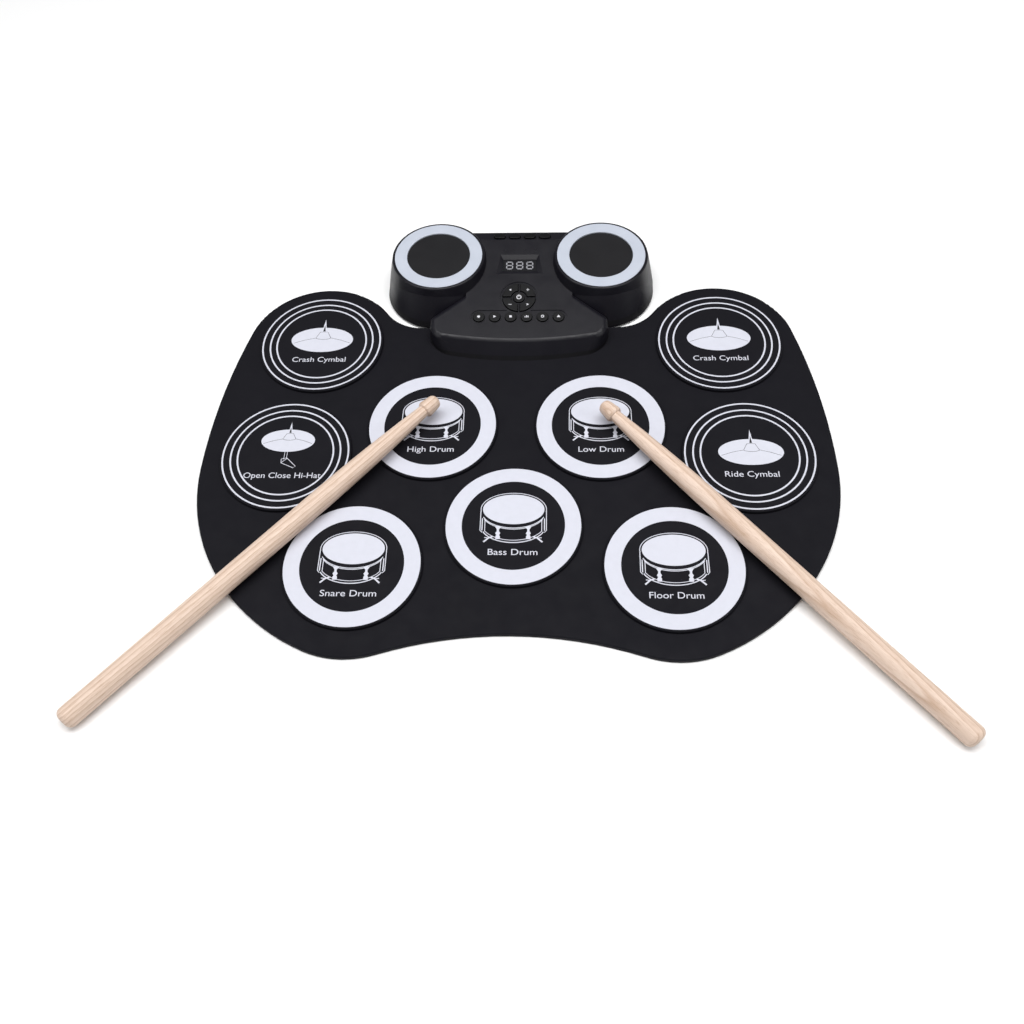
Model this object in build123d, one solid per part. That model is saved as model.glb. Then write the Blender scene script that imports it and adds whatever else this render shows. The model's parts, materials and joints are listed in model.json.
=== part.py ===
from build123d import *
from math import acos, atan2, cos, degrees, hypot, radians, sin, sqrt, tan
import os

# Roll-up electronic drum pad: a silicone mat with nine striking pads, a speaker console clamped
# to its rear tab, and two wooden sticks resting on it. Millimetres, +Z up, +Y away from the player.
# Origin: centre of the mat's underside, on the surface that it lies on.

# ---------------------------------------------------------------- driving dimensions
# pads
PAD_DIA = 93.0
PAD_HEIGHT = 2.5
PAD_EDGE = 1.0                    # rounding of a pad's top rim
PAD_PITCH = 100.0                 # unit of the pad layout below
PAD_LAYOUT = {                    # pad centres, in pad pitches
    "bass": (0.0, -0.580),
    "high_tom": (-0.594, 0.246),
    "low_tom": (0.594, 0.246),
    "snare": (-1.046, -0.890),
    "floor_tom": (1.046, -0.890),
    "hi_hat": (-1.611, -0.010),
    "ride": (1.611, -0.010),
    "crash_left": (-1.486, 1.020),
    "crash_right": (1.486, 1.020),
}

# mat
BACKING_T = 1.0                   # anti-slip sheet under the sensor film
SKIN_T = 2.5                      # moulded top skin
SKIN_EDGE = 1.0                   # rounding of the skin's top rim
FRONT_MARGIN = 18.0               # mat beyond the two front pads
REAR_MARGIN = 10.5                # mat beyond the two crash pads
SIDE_MARGIN = 12.9                # mat beyond the two outer pads
SIDE_RADIUS = 150.0               # plan radius of the mat's lower flanks
FRONT_BOW = 16.9                  # depth of the hollow in the mat's front edge
NOTCH_RADIUS = 33.0               # plan radius of the hollows beside the console
TAB_DEPTH = 33.5                  # how far the mat's rear tab reaches under the console
FILM_T = 0.3
FILM_INSET = 8.0                  # film's distance from the mat's edge
DISC_T = 0.5                      # pressure disc over each sensor
DISC_MARGIN = 5.0                 # pad rim outside its pressure disc

# console shell
CONSOLE_GAP = 14.9                # mat left between the two toms and the console's nose
NOSE_HALF = 67.4                  # half width of the nose at the mat
NOSE_RADIUS = 22.0                # plan radius of the nose's corners at the mat
NOSE_FRONT_RADIUS = 250.0         # plan radius of the nose's bulging front at the mat
FRONT_LEAN = 0.85                 # per unit of height: how far the nose's front leans back
SIDE_LEAN = 0.12                  # how far its sides lean in
CORNER_LEAN = 1.0                 # how much its corners tighten
BULGE_LEAN = 15.0                 # how much its front flattens
NOSE_EDGE = 4.0                   # rounding all round the panel
SHOULDER_R = 5.0                  # plan radius where the sides turn in
SHOULDER_BACK = 31.0              # behind the nose's foot the sides turn in towards the pods
SHOULDER_RUN = 20.6               # and this much further back they run into the pods
SHOULDER_X = 40.0                 # at this half width
BODY_DEPTH = 110.0                # nose to rear wall, at the foot
POD_X = 61.9                      # speaker pods, left and right of the middle
POD_BACK = 28.5                   # pod centre ahead of the rear wall
POD_BASE_DIA = 82.6
POD_WAIST_DIA = 78.0
POD_TOP_DIA = 70.6
POD_TOP_Z = 31.0
POD_EDGE = 1.2                    # rounding of the pod's top rim
WAIST_Z = 14.0
POD_FOOT_R = 40.0                 # the pod's foot reaches forward as a second circle
POD_FOOT_SHIFT = (-1.1, -7.5)     # that circle's middle from the pod's
POD_FOOT_TOP = 29.0               # height where the forward reach has gone
PANEL_Z = 21.0                    # height of the panel at the keypad's centre
PANEL_TILT = 9.0                  # degrees, rising to the rear
WALL = 2.2
POD_ROOF = 3.4
SEAM_Z = 6.2                      # joint between upper and lower shell
FLOOR_T = 2.0
FOOT_H = 1.8
FOOT_DIA = 10.0
STRIP_DEPTH = 9.7                 # trough behind the panel that holds the rear buttons
STRIP_STEP = 1.4
STRIP_EDGE = 0.6                  # rounding of the panel's rear edge
REAR_EDGE = 1.5

# keypad and display, measured from the keypad's centre along the panel's slope
KEYPAD_BACK = 47.0                # keypad centre behind the nose's foot
KEYPAD_DIA = 24.8
KEYPAD_MARGIN = 1.9               # the recess reaches beyond the keypad
RECESS_DEPTH = 0.6
KEYPAD_RIB = 0.9                  # panel ribs between the five keys of the keypad
CENTRE_KEY_DIA = 8.8
ROW_GAP = 0.6                     # between the keypad and the row of keys before it
ROW_PITCH = 11.9
ROW_COUNT = 6
ROW_KEY_DIA = 8.4
ROW_RECESS_W = 12.0
DISPLAY_GAP = 9.4                 # between the keypad and the display's frame
DISPLAY_FRAME_LOW = 35.4          # width of the sloping frame nearest the player
DISPLAY_FRAME_HIGH = 29.2         # and at its far side
DISPLAY_FRAME_H = 17.6
DISPLAY_WINDOW = (25.4, 10.6)
DISPLAY_DROP = 1.6                # window's edge below the panel
LAMP_GAP = 4.2                    # between the display's frame and the lamps
LAMP_PITCH = 8.1
LAMP_COUNT = 4
LAMP_DIA = 1.6
REAR_KEY_PITCH = 11.6
REAR_KEY_COUNT = 4
REAR_KEY_SIZE = (9.0, 4.8)
REAR_KEY_BACK = 4.2               # behind the panel's rear lip
REAR_KEY_X = 1.6                  # the rear row stands a little right of the middle

# keys
KEY_TRAVEL = 1.0
KEY_PROUD = 1.3                   # key top above its seat, more than its travel
KEY_LIP = 0.5                     # flange that keeps a key in
KEY_LIP_T = 0.8
KEY_EDGE = 0.4
KEYMAT_T = 1.0                    # rubber key mat under the keys

# loudspeakers
RING_OUT_DIA = 66.8
RING_IN_DIA = 48.2
RING_T = 1.6
RING_PROUD = 0.2
GRILLE_T = 0.9
SOUND_HOLE_DIA = 44.0
BASKET_DIA = 50.0
BASKET_H = 9.0
MAGNET_DIA = 30.0
MAGNET_H = 7.0
CONE_T = 0.6
CONE_DEPTH = 5.6
DUST_CAP_RISE = 1.2               # middle of the dust cap above its rim
FLANGE_T = 1.4
FLANGE_W = 1.8
BASKET_T = 1.2

# electronics
BOARD_T = 1.6
BOARD_LIFT = 2.4                  # main board above the shell's floor
BOARD_SIZE = (62.0, 38.0)
PANEL_BOARD_W = 74.0
BOARD_MARGIN = (2.0, 3.4)         # panel board beyond the row keys and beyond the lamps
JACK_R = 1.8                      # 3.5 mm plug socket
JACK_DEPTH = 12.0
JACK_BODY = (8.0, 11.0, 7.0)
JACK_COLLAR_DIA = 6.0
JACK_X = (-26.0, -14.0, 14.0, 26.0)
USB_SIZE = (9.2, 7.4, 3.4)
USB_WALL = 0.35
USB_TONGUE_T = 0.7
BATTERY_SIZE = (50.0, 30.0, 4.4)
CHIP_SIZE = (14.0, 14.0, 1.4)
CHIP_INSET = 6.0                  # chip behind the main board's front edge

# fixings
SCREW_R = 1.2
SCREW_HEAD_R = 2.3
SCREW_HEAD_H = 1.2
SCREW_CROSS = (3.2, 0.6, 0.5)     # length, width and depth of the cross slot
POST_R = 3.0
CLAMP_T = 1.6
CLAMP_SIZE = (24.0, 14.0)
CLAMP_BACK = 20.0                 # clamp plates behind the nose's foot
CLAMP_X = 30.0                    # a clamp plate on each side of the film's tail
CLAMP_SCREW_PITCH = 15.0
CLAMP_LIFT = 0.2                  # plate's face above the mat's underside
TAIL_WIDTH = 30.0
POST_HOLE_DEPTH = 9.0
REAR_POST = (38.0, 9.5)           # from the middle, ahead of the rear wall
OUTER_POST = 33.6                 # from the pod's centre, outwards
FOOT_SPREAD = 28.0                # feet ahead of and behind the pod's centre
FOOT_POCKET = 0.5
STANDOFF_R = 2.4
STANDOFF_INSET = 4.0

# sticks
STICK_LENGTH = 318.0
STICK_BUTT_R = 7.3
STICK_BUTT_EDGE = 4.5
STICK_NECK_R = 4.2
STICK_BEAD_R = 5.6
STICK_BEAD_L = 13.5
STICK_BEAD_WIDEST = 0.42          # widest place, as a part of the bead's length
STICK_TAPER_L = 95.0
STICK_TAPER_BULGE = 0.7           # how far the taper bulges beyond a straight cone
STICK_SLOPE = 1.95                # degrees, from the butt on the floor up over the mat's edge
STICK_SPOTS = {                   # pad under the tip, tip from that pad's centre, heading to the tip
    "left_drumstick": ("high_tom", (3.7, 13.7), 48.2),
    "right_drumstick": ("low_tom", (1.1, 9.1), 131.7),
}

CLEAR = 0.15                      # between pieces that only locate each other
KEY_GAP = 0.3                     # between pieces that move apart
STOP_GAP = 0.1                    # key's lip below the panel that stops it

# ---------------------------------------------------------------- derived places
PAD_R = PAD_DIA / 2
MAT_T = BACKING_T + SKIN_T
PAD_XY = {name: (PAD_PITCH * u, PAD_PITCH * v) for name, (u, v) in PAD_LAYOUT.items()}
HALF_WIDTH = PAD_XY["ride"][0] + PAD_R + SIDE_MARGIN
NOSE_Y = PAD_XY["low_tom"][1] + PAD_R + CONSOLE_GAP
TAB_Y = NOSE_Y + TAB_DEPTH
REAR_Y = NOSE_Y + BODY_DEPTH
POD_Y = REAR_Y - POD_BACK
KEYPAD_Y = NOSE_Y + KEYPAD_BACK
SHOULDER_Y = NOSE_Y + SHOULDER_BACK
STRIP_Y = REAR_Y - STRIP_DEPTH
ROW_OFFSET = -(KEYPAD_DIA / 2 + ROW_GAP + ROW_KEY_DIA / 2)
DISPLAY_OFFSET = KEYPAD_DIA / 2 + DISPLAY_GAP + DISPLAY_FRAME_H / 2
LAMP_OFFSET = DISPLAY_OFFSET + DISPLAY_FRAME_H / 2 + LAMP_GAP
PANEL_BOARD_LOW = ROW_OFFSET - ROW_KEY_DIA / 2 - BOARD_MARGIN[0]
PANEL_BOARD_HIGH = LAMP_OFFSET + BOARD_MARGIN[1]
TILT_COS = cos(radians(PANEL_TILT))
TILT_SIN = sin(radians(PANEL_TILT))
STRIP_Z = PANEL_Z + (STRIP_Y - KEYPAD_Y) * tan(radians(PANEL_TILT)) - STRIP_STEP
RING_SEAT_Z = POD_TOP_Z - RING_T
FLOOR_Z = FOOT_H + FLOOR_T        # inside floor of the lower shell
BOARD_Z = FLOOR_Z + BOARD_LIFT
LIP_DEPTH = WALL + STOP_GAP       # top of a key's lip below the panel's surface
KEYMAT_DEPTH = LIP_DEPTH + KEY_LIP_T + KEY_TRAVEL + KEY_GAP
PANEL_BOARD_DEPTH = KEYMAT_DEPTH + KEYMAT_T
BOARD_Y = REAR_Y - WALL - 2 * CLEAR
CLAMP_Y = NOSE_Y + CLAMP_BACK
CLAMP_SCREW_X = [
    side * CLAMP_X + step * CLAMP_SCREW_PITCH / 2 for side in (-1, 1) for step in (-1, 1)
]
PODS = {"left": -POD_X, "right": POD_X}
PARTS = {}


def disc(radius, z_low, z_high, x=0.0, y=0.0):
    return Pos(x, y, (z_low + z_high) / 2) * Cylinder(radius, z_high - z_low)


def ring(r_out, r_in, z_low, z_high, x=0.0, y=0.0):
    return disc(r_out, z_low, z_high, x, y) - disc(r_in, z_low - 1, z_high + 1, x, y)


def block(x_low, x_high, y_low, y_high, z_low, z_high):
    centre = Pos((x_low + x_high) / 2, (y_low + y_high) / 2, (z_low + z_high) / 2)
    return centre * Box(x_high - x_low, y_high - y_low, z_high - z_low)


def mirrored(shape):
    return mirror(shape, about=Plane.YZ)


def panel_spot(x, offset, depth=0.0):
    """Frame on the panel: x across, offset up the slope from the keypad, sunk by depth."""
    y = KEYPAD_Y + offset * TILT_COS + depth * TILT_SIN
    z = PANEL_Z + offset * TILT_SIN - depth * TILT_COS
    return Pos(x, y, z) * Rot(PANEL_TILT, 0, 0)


def sunk(shape_height, depth_top):
    """Lowers a centred shape so that its top lies depth_top below the panel's surface."""
    return Pos(0, 0, -depth_top - shape_height / 2)


# ---------------------------------------------------------------- mat outline
def toward(centre, target, distance):
    span = hypot(target[0] - centre[0], target[1] - centre[1])
    return (
        centre[0] + (target[0] - centre[0]) * distance / span,
        centre[1] + (target[1] - centre[1]) * distance / span,
    )


def circle_arc(centre, radius, start, end):
    """Short arc about a centre between two of its points."""
    chord_middle = ((start[0] + end[0]) / 2, (start[1] + end[1]) / 2)
    return ThreePointArc(start, toward(centre, chord_middle, radius), end)


def mat_face(inset=0.0):
    """Plan of the mat: circles that touch one another, all drawn in by the inset."""
    front = PAD_XY["floor_tom"]
    rear = PAD_XY["crash_right"]
    front_r = PAD_R + FRONT_MARGIN
    rear_r = PAD_R + REAR_MARGIN
    # lower flank: touches the side line and the front lobe
    side_x = HALF_WIDTH - SIDE_RADIUS
    side_y = front[1] + sqrt((SIDE_RADIUS - front_r) ** 2 - (front[0] - side_x) ** 2)
    side = (side_x, side_y)
    # upper flank: touches the lower flank on the side line, and the rear lobe
    back_in = rear[0] - HALF_WIDTH
    back_up = rear[1] - side_y
    flank_r = (rear_r**2 - back_in**2 - back_up**2) / (2 * (back_in + rear_r))
    flank = (HALF_WIDTH - flank_r, side_y)
    # hollow front edge: touches the front lobe, nearest the middle on the centre line
    dip = front_r - FRONT_BOW
    bow_r = (front[0] ** 2 + dip**2 - front_r**2) / (2 * (front_r - dip))
    bow = (0.0, front[1] - dip - bow_r)
    # hollow beside the console: touches the rear lobe and the tab's rear edge
    notch_y = TAB_Y + NOTCH_RADIUS
    notch_x = rear[0] - sqrt((NOTCH_RADIUS + rear_r) ** 2 - (notch_y - rear[1]) ** 2)
    notch = (notch_x, notch_y)

    apex = (0.0, bow[1] + bow_r + inset)
    front_touch = toward(front, bow, front_r - inset)
    low_touch = toward(side, front, SIDE_RADIUS - inset)
    side_touch = (HALF_WIDTH - inset, side_y)
    high_touch = toward(flank, rear, flank_r - inset)
    rear_touch = toward(rear, notch, rear_r - inset)
    tab_corner = (notch_x, TAB_Y - inset)
    lobe_low = toward(front, (front[0] + front_r / 5, front[1] - front_r), front_r - inset)
    half = [
        circle_arc(bow, bow_r + inset, apex, front_touch),
        ThreePointArc(front_touch, lobe_low, low_touch),
        circle_arc(side, SIDE_RADIUS - inset, low_touch, side_touch),
        circle_arc(flank, flank_r - inset, side_touch, high_touch),
        circle_arc(rear, rear_r - inset, high_touch, rear_touch),
        circle_arc(notch, NOTCH_RADIUS + inset, rear_touch, tab_corner),
    ]
    tab_edge = Line(tab_corner, (-tab_corner[0], tab_corner[1]))
    outline = half + [tab_edge] + [mirrored(piece) for piece in half]
    return make_face(Wire([piece.edge() for piece in outline]))


def sheet(face, z_low, z_high):
    return extrude(Pos(0, 0, z_low) * face, amount=z_high - z_low, dir=(0, 0, 1))


def joined(shapes):
    return shapes[0] + shapes[1:]


def clamp_discs(radius, z_low, z_high):
    return joined([disc(radius, z_low, z_high, x, CLAMP_Y) for x in CLAMP_SCREW_X])


def clamp_blocks(grow, z_low, z_high):
    half_x = CLAMP_SIZE[0] / 2 + grow
    half_y = CLAMP_SIZE[1] / 2 + grow
    right = block(
        CLAMP_X - half_x, CLAMP_X + half_x, CLAMP_Y - half_y, CLAMP_Y + half_y, z_low, z_high
    )
    return right + mirrored(right)


def tail_block(grow, z_low, z_high, y_low, y_high):
    half = TAIL_WIDTH / 2 + grow
    return block(-half, half, y_low, y_high, z_low, z_high)


def build_mat():
    film_top = BACKING_T + FILM_T
    plate_gap = clamp_blocks(CLEAR, -1, CLAMP_T + CLEAR)
    PARTS["mat_backing"] = sheet(mat_face(), 0, BACKING_T) - plate_gap

    # the film's tail leaves by the rear tab, then stands up behind it into the console
    tail_start = TAB_Y - FILM_INSET - CLEAR
    riser_y = TAB_Y + CLEAR + FLOOR_T + KEY_GAP
    tail = tail_block(0, BACKING_T, film_top, tail_start, riser_y + FILM_T)
    riser_top = PANEL_Z + (riser_y - KEYPAD_Y) * tan(radians(PANEL_TILT))
    riser_top = riser_top - (PANEL_BOARD_DEPTH + BOARD_T) / TILT_COS - CLEAR
    tail = tail + tail_block(0, BACKING_T, riser_top, riser_y, riser_y + FILM_T)
    film = sheet(mat_face(FILM_INSET), BACKING_T, film_top) + tail
    PARTS["sensor_film"] = film - clamp_blocks(1.0, 0, MAT_T)

    skin = sheet(mat_face(), BACKING_T, MAT_T)
    rim = skin.faces().sort_by(Axis.Z)[-1].outer_wire().edges()
    skin = fillet(rim, SKIN_EDGE)
    skin = skin - sheet(mat_face(FILM_INSET - CLEAR), 0, film_top)
    skin = skin - tail_block(CLEAR, 0, film_top, tail_start, TAB_Y + 5)
    skin = skin - plate_gap - clamp_discs(SCREW_R + CLEAR, -1, MAT_T + 1)
    pressure_discs = []
    for x, y in PAD_XY.values():
        skin = skin - disc(PAD_R - DISC_MARGIN + CLEAR, film_top - 0.1, film_top + DISC_T, x, y)
        pressure_discs.append(disc(PAD_R - DISC_MARGIN, film_top, film_top + DISC_T, x, y))
    PARTS["mat_skin"] = skin
    PARTS["pressure_discs"] = Compound(children=pressure_discs)

    for name, (x, y) in PAD_XY.items():
        pad = disc(PAD_R, MAT_T, MAT_T + PAD_HEIGHT, x, y)
        PARTS[f"pad_{name}"] = fillet(pad.edges().sort_by(Axis.Z)[-1], PAD_EDGE)

    head_top = CLAMP_LIFT + SCREW_HEAD_H
    plates = clamp_blocks(0, CLAMP_LIFT, CLAMP_T) - clamp_discs(SCREW_R + CLEAR, -1, MAT_T)
    PARTS["clamp_plates"] = plates - clamp_discs(SCREW_HEAD_R + CLEAR, -1, head_top)


# ---------------------------------------------------------------- console shells
def nose_face(inset, z):
    """Plan of the nose: bulging front, round corners, sides, and shoulders that turn into the pods."""
    rise = z - MAT_T
    half = NOSE_HALF - SIDE_LEAN * rise - inset
    front = NOSE_Y + FRONT_LEAN * rise + inset
    corner_r = NOSE_RADIUS - CORNER_LEAN * rise - inset
    front_r = NOSE_FRONT_RADIUS + BULGE_LEAN * rise - inset
    bulge = (0.0, front + front_r)
    corner_y = bulge[1] - sqrt((front_r - corner_r) ** 2 - (half - corner_r) ** 2)
    corner = (half - corner_r, corner_y)
    touch = toward(bulge, corner, front_r)
    side = (half, corner_y)
    shoulder = (half, SHOULDER_Y - inset / 2)
    inner = (SHOULDER_X - inset, SHOULDER_Y + SHOULDER_RUN - inset / 2)
    rear = (inner[0], REAR_Y - inset)
    right = [
        circle_arc(corner, corner_r, touch, side),
        Line(side, shoulder),
        Line(shoulder, inner),
        Line(inner, rear),
    ]
    nose = ThreePointArc((-touch[0], touch[1]), (0.0, front), touch)
    back = Line(rear, (-rear[0], rear[1]))
    outline = [nose, back] + right + [mirrored(piece) for piece in right]
    return Pos(0, 0, z) * make_face(Wire([piece.edge() for piece in outline]))


def teardrop_face(radius, tip, tip_r, z):
    """Outline round a circle at the origin and a smaller circle at the tip."""
    reach = hypot(*tip)
    turn = degrees(acos((radius - tip_r) / reach))
    heading = degrees(atan2(tip[1], tip[0]))
    touches = []
    for angle in (heading - turn, heading + turn):
        out = (cos(radians(angle)), sin(radians(angle)))
        touches.append((radius * out[0], radius * out[1]))
        touches.append((tip[0] + tip_r * out[0], tip[1] + tip_r * out[1]))
    big_a, tip_a, big_b, tip_b = touches
    outline = [
        ThreePointArc(big_b, toward((0, 0), (-tip[0], -tip[1]), radius), big_a),
        Line(big_a, tip_a),
        ThreePointArc(tip_a, toward((0, 0), tip, reach + tip_r), tip_b),
        Line(tip_b, big_b),
    ]
    return Pos(0, 0, z) * make_face(Wire([piece.edge() for piece in outline]))


def pod_solid(shrink, top_z):
    """Left pod: a drum that narrows upwards, with a foot that reaches forward."""
    base_r = POD_BASE_DIA / 2 - shrink
    waist_r = POD_WAIST_DIA / 2 - shrink
    top_r = POD_TOP_DIA / 2 - shrink
    low = FOOT_H if shrink == 0 else FLOOR_Z
    section = [
        Line((0, low), (base_r, low)),
        ThreePointArc((base_r, low), (waist_r, WAIST_Z), (top_r, top_z)),
        Line((top_r, top_z), (0, top_z)),
        Line((0, top_z), (0, low)),
    ]
    profile = make_face(Wire([piece.edge() for piece in section]))
    drum = revolve(Plane.XZ * profile, Axis.Z)
    if shrink == 0:
        drum = fillet(drum.edges().sort_by(Axis.Z)[-1], POD_EDGE)
    # the drum leans back from a foot that reaches forward
    inside_r = top_r - POD_EDGE
    top_shift = toward((0, 0), POD_FOOT_SHIFT, POD_EDGE)
    reach = loft(
        [
            teardrop_face(base_r - CLEAR, POD_FOOT_SHIFT, POD_FOOT_R - shrink, low),
            teardrop_face(inside_r, top_shift, inside_r - POD_EDGE / 2, POD_FOOT_TOP - shrink / 2),
        ],
        ruled=True,
    )
    return Pos(-POD_X, POD_Y, 0) * (drum + reach)


def shoulder_corners(solid):
    """Upright edges of the nose where its sides turn in towards the pods."""
    upright = [edge for edge in solid.edges() if abs(edge.tangent_at(0.5).Z) > 0.9]
    return [edge for edge in upright if abs(edge.center().Y - SHOULDER_Y) < 1]


def rim_edges(solid):
    """Edges round the panel, from pod to pod by way of the front."""
    high = [edge for edge in solid.edges() if edge.center().Z > PANEL_Z / 2]
    level = [edge for edge in high if abs(edge.tangent_at(0.5).Z) < 0.5]
    return [edge for edge in level if edge.center().Y < SHOULDER_Y + SHOULDER_RUN]


def nose_solid(shrink, roof):
    """Console middle: leaning nose under the sloping panel, with the trough at its rear."""
    low = FOOT_H if shrink == 0 else FLOOR_Z
    nose_top = PANEL_Z + 1.0
    solid = loft([nose_face(shrink, low), nose_face(shrink, nose_top)], ruled=True)
    # between the pods
    inner_x = SHOULDER_X - shrink
    solid = solid + block(-inner_x, inner_x, KEYPAD_Y, REAR_Y - shrink, low, POD_TOP_Z)
    above = panel_spot(0, 0, roof) * Pos(0, 0, 50) * Box(400, 400, 100)
    solid = solid - above
    if shrink == 0:
        solid = fillet(shoulder_corners(solid), SHOULDER_R)
        solid = fillet(rim_edges(solid), NOSE_EDGE)
    trough_z = STRIP_Z - roof
    trough_y = STRIP_Y - (WALL if shrink else 0)
    solid = solid - block(-POD_X, POD_X, trough_y, REAR_Y + 1, trough_z, POD_TOP_Z + 1)
    if shrink == 0:
        back_edge = solid.edges().filter_by(Axis.X).sort_by(Axis.Y)[-2:].sort_by(Axis.Z)[-1]
        solid = fillet(back_edge, REAR_EDGE)
        level = solid.edges().filter_by(Axis.X)
        step_edges = [edge for edge in level if abs(edge.center().Y - STRIP_Y) < STRIP_STEP / 2]
        solid = fillet(ShapeList(step_edges).sort_by(Axis.Z)[-1], STRIP_EDGE)
    return solid


def console_solid(shrink=0.0, roof=0.0, pod_roof=0.0):
    pod = pod_solid(shrink, POD_TOP_Z - pod_roof)
    return nose_solid(shrink, roof) + pod + mirrored(pod)


def lower_floor(y):
    """Inside floor of the lower shell, which steps up over the mat's tab."""
    return MAT_T + FLOOR_T if y < TAB_Y else FLOOR_Z


def post_spots():
    """Screw posts of the upper shell: through the clamp plates, and through the lower shell."""
    spots = [(x, CLAMP_Y) for x in CLAMP_SCREW_X]
    rear_y = REAR_Y - REAR_POST[1]
    outer_x = POD_X + OUTER_POST
    return spots + [(-REAR_POST[0], rear_y), (REAR_POST[0], rear_y), (-outer_x, POD_Y), (outer_x, POD_Y)]


def foot_spots():
    return [(x, POD_Y + step) for x in PODS.values() for step in (-FOOT_SPREAD, FOOT_SPREAD)]


def quarter_face(turn, inner, outer, gap):
    """A quarter of a ring, with its two straight sides held a gap off the cross."""
    square = Pos(outer / 2 + gap, outer / 2 + gap) * Rectangle(outer, outer)
    return Rot(0, 0, turn) * ((Circle(outer) - Circle(inner)) & square)


def key_shape(face, lip_face, top):
    """Key with its lip below the panel; the face is drawn on the panel's surface."""
    body = extrude(Pos(0, 0, -LIP_DEPTH) * face, amount=LIP_DEPTH + top, dir=(0, 0, 1))
    body = fillet(body.faces().sort_by(Axis.Z)[-1].outer_wire().edges(), KEY_EDGE)
    lip_low = LIP_DEPTH + KEY_LIP_T
    return body + extrude(Pos(0, 0, -lip_low) * lip_face, amount=KEY_LIP_T, dir=(0, 0, 1))


def key_plan():
    """Every key: name, seat, face, lip and the hole that it moves in."""
    keys = []
    hub = CENTRE_KEY_DIA / 2
    hub_lip = hub + KEY_GAP + KEYPAD_RIB / 2
    inner = hub + 2 * KEY_GAP + KEYPAD_RIB
    outer = KEYPAD_DIA / 2
    half_gap = KEYPAD_RIB / 2 + KEY_GAP
    centre = panel_spot(0, 0)
    for number, turn in enumerate((0, 90, 180, 270), 1):
        face = quarter_face(turn, inner, outer, half_gap)
        lip = quarter_face(turn, inner, outer + KEY_LIP, half_gap)
        hole = quarter_face(turn, inner - KEY_GAP, outer + KEY_GAP, KEYPAD_RIB / 2)
        keys.append((f"quarter_key_{number}", centre, face, lip, hole))
    keys.append(("centre_key", centre, Circle(hub), Circle(hub_lip), Circle(hub + KEY_GAP)))
    row_r = ROW_KEY_DIA / 2
    for number in range(ROW_COUNT):
        x = (number - (ROW_COUNT - 1) / 2) * ROW_PITCH
        faces = (Circle(row_r), Circle(row_r + KEY_LIP), Circle(row_r + KEY_GAP))
        keys.append((f"row_key_{number + 1}", panel_spot(x, ROW_OFFSET), *faces))
    long, wide = REAR_KEY_SIZE
    for number in range(REAR_KEY_COUNT):
        x = REAR_KEY_X + (number - (REAR_KEY_COUNT - 1) / 2) * REAR_KEY_PITCH
        seat = Pos(x, STRIP_Y + REAR_KEY_BACK, STRIP_Z)
        faces = [SlotOverall(long + 2 * grow, wide + 2 * grow) for grow in (0, KEY_LIP, KEY_GAP)]
        keys.append((f"rear_key_{number + 1}", seat, *faces))
    return keys


def build_keys():
    for name, seat, face, lip, hole in key_plan():
        recess = 0 if name.startswith("rear") else RECESS_DEPTH
        PARTS[name] = seat * key_shape(face, lip, KEY_PROUD - recess)


def build_shells():
    outer = console_solid()
    inner = console_solid(WALL, WALL, POD_ROOF)
    wide = 2 * (POD_X + POD_BASE_DIA)
    far = REAR_Y + POD_BASE_DIA
    tab_room = block(-wide, wide, 0, TAB_Y + CLEAR, -1, MAT_T)
    tab_floor = block(-wide, wide, 0, TAB_Y + CLEAR + FLOOR_T, -1, MAT_T + FLOOR_T)

    # lower shell
    lower = outer & block(-wide, wide, 0, far, 0, SEAM_Z)
    lower = lower - (inner - tab_floor) - tab_room
    riser_y = TAB_Y + CLEAR + FLOOR_T
    lower = lower - tail_block(CLEAR, 0, FLOOR_Z + 1, riser_y, riser_y + FILM_T + 2 * KEY_GAP)
    for x, y in post_spots():
        lower = lower - disc(SCREW_R + CLEAR, 0, SEAM_Z, x, y)
        if y > TAB_Y:
            lower = lower - disc(SCREW_HEAD_R + CLEAR, 0, FOOT_H + SCREW_HEAD_H, x, y)
    for x, y in foot_spots():
        lower = lower - disc(FOOT_DIA / 2 + CLEAR, 0, FOOT_H + FOOT_POCKET, x, y)
    for x, y in standoff_spots():
        lower = lower + disc(STANDOFF_R, FLOOR_Z - 0.5, BOARD_Z, x, y)
    PARTS["lower_shell"] = lower

    # upper shell
    upper = (outer - inner) & block(-wide, wide, 0, far, SEAM_Z, POD_TOP_Z + 1)
    for x, y in post_spots():
        post = disc(POST_R, lower_floor(y), POD_TOP_Z, x, y) & outer
        upper = upper + post - disc(SCREW_R, 0, lower_floor(y) + POST_HOLE_DEPTH, x, y)
    for x in PODS.values():
        upper = upper - disc(RING_OUT_DIA / 2 + CLEAR, RING_SEAT_Z, POD_TOP_Z + 1, x, POD_Y)
        upper = upper - disc(SOUND_HOLE_DIA / 2, POD_TOP_Z - 2 * POD_ROOF, POD_TOP_Z + 1, x, POD_Y)
    upper = upper - panel_spot(0, 0) * sunk(RECESS_DEPTH, 0) * Cylinder(
        KEYPAD_DIA / 2 + KEYPAD_MARGIN, RECESS_DEPTH
    )
    row_long = ROW_PITCH * (ROW_COUNT - 1) + ROW_RECESS_W
    row_recess = extrude(SlotOverall(row_long, ROW_RECESS_W), amount=RECESS_DEPTH)
    upper = upper - panel_spot(0, ROW_OFFSET, RECESS_DEPTH) * row_recess
    for name, seat, face, lip, hole in key_plan():
        tool = extrude(Pos(0, 0, -2 * WALL) * hole, amount=3 * WALL, dir=(0, 0, 1))
        upper = upper - seat * tool
    upper = upper - display_frame() - display_hole()
    for lamp_seat in lamp_seats():
        upper = upper - lamp_seat * Cylinder(LAMP_DIA / 2, 3 * WALL)
    for x in JACK_X:
        upper = upper - jack_cylinder(x, JACK_COLLAR_DIA / 2 + CLEAR)
    upper = upper - usb_block(CLEAR)
    PARTS["upper_shell"] = upper


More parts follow.
